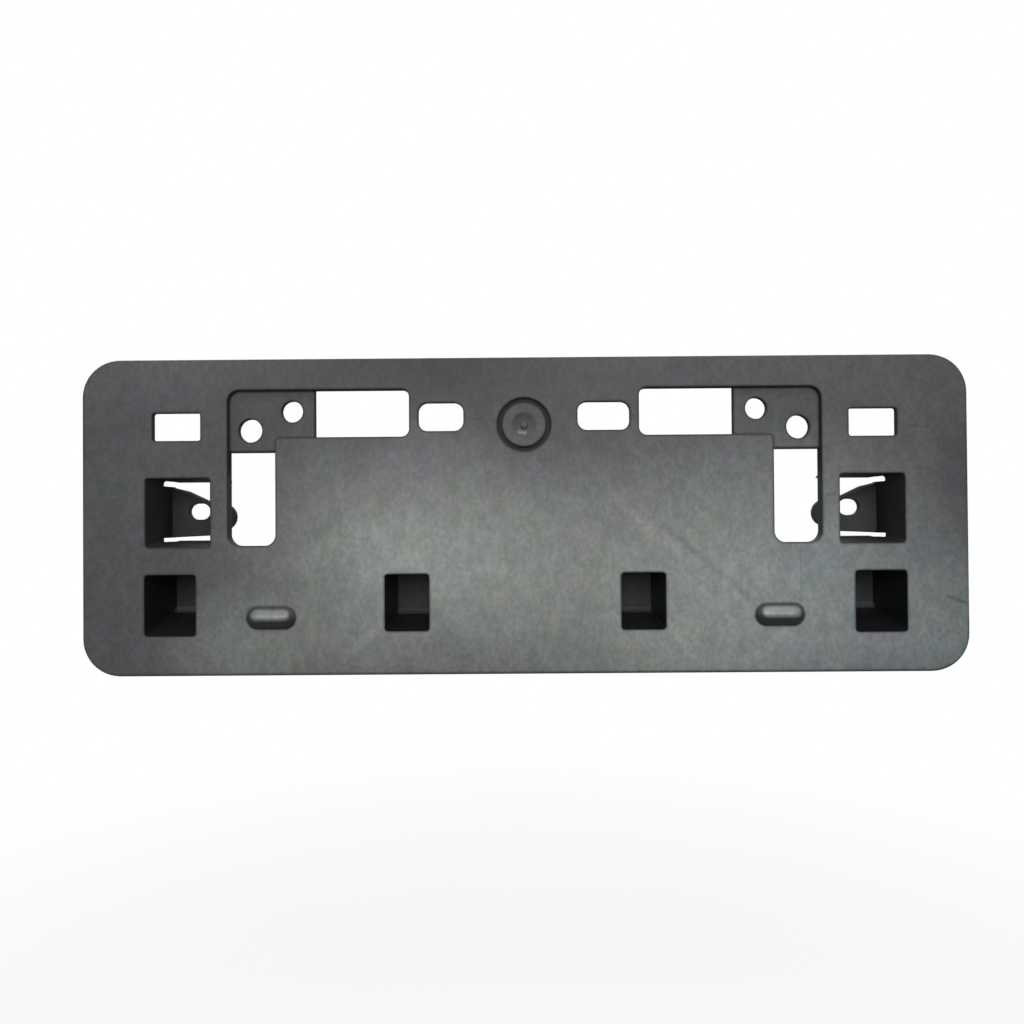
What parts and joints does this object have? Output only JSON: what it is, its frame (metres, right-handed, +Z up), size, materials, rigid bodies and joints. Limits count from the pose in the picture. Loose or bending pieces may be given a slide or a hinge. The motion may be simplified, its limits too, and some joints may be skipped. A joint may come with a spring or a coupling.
{
  "type": "number plate holder",
  "caption": "Moulded holder for a front number plate: flat panel with sunk screw ledges, standoff boxes and sprung screw tongues that fix it to a bumper.",
  "frame": {"origin": "midway between the two bumper screw holes, on the back face of their tongues", "axes": "+X to the right seen from the front, +Z up, front face towards -Y"},
  "size_m": [0.3376, 0.0335, 0.1208],
  "materials": {
    "dark_plastic": "semi-matt moulded dark grey, with faint flow streaks and light scuffs"
  },
  "bodies": {
    "root": {"holder": "dark_plastic"}
  },
  "joints": []
}
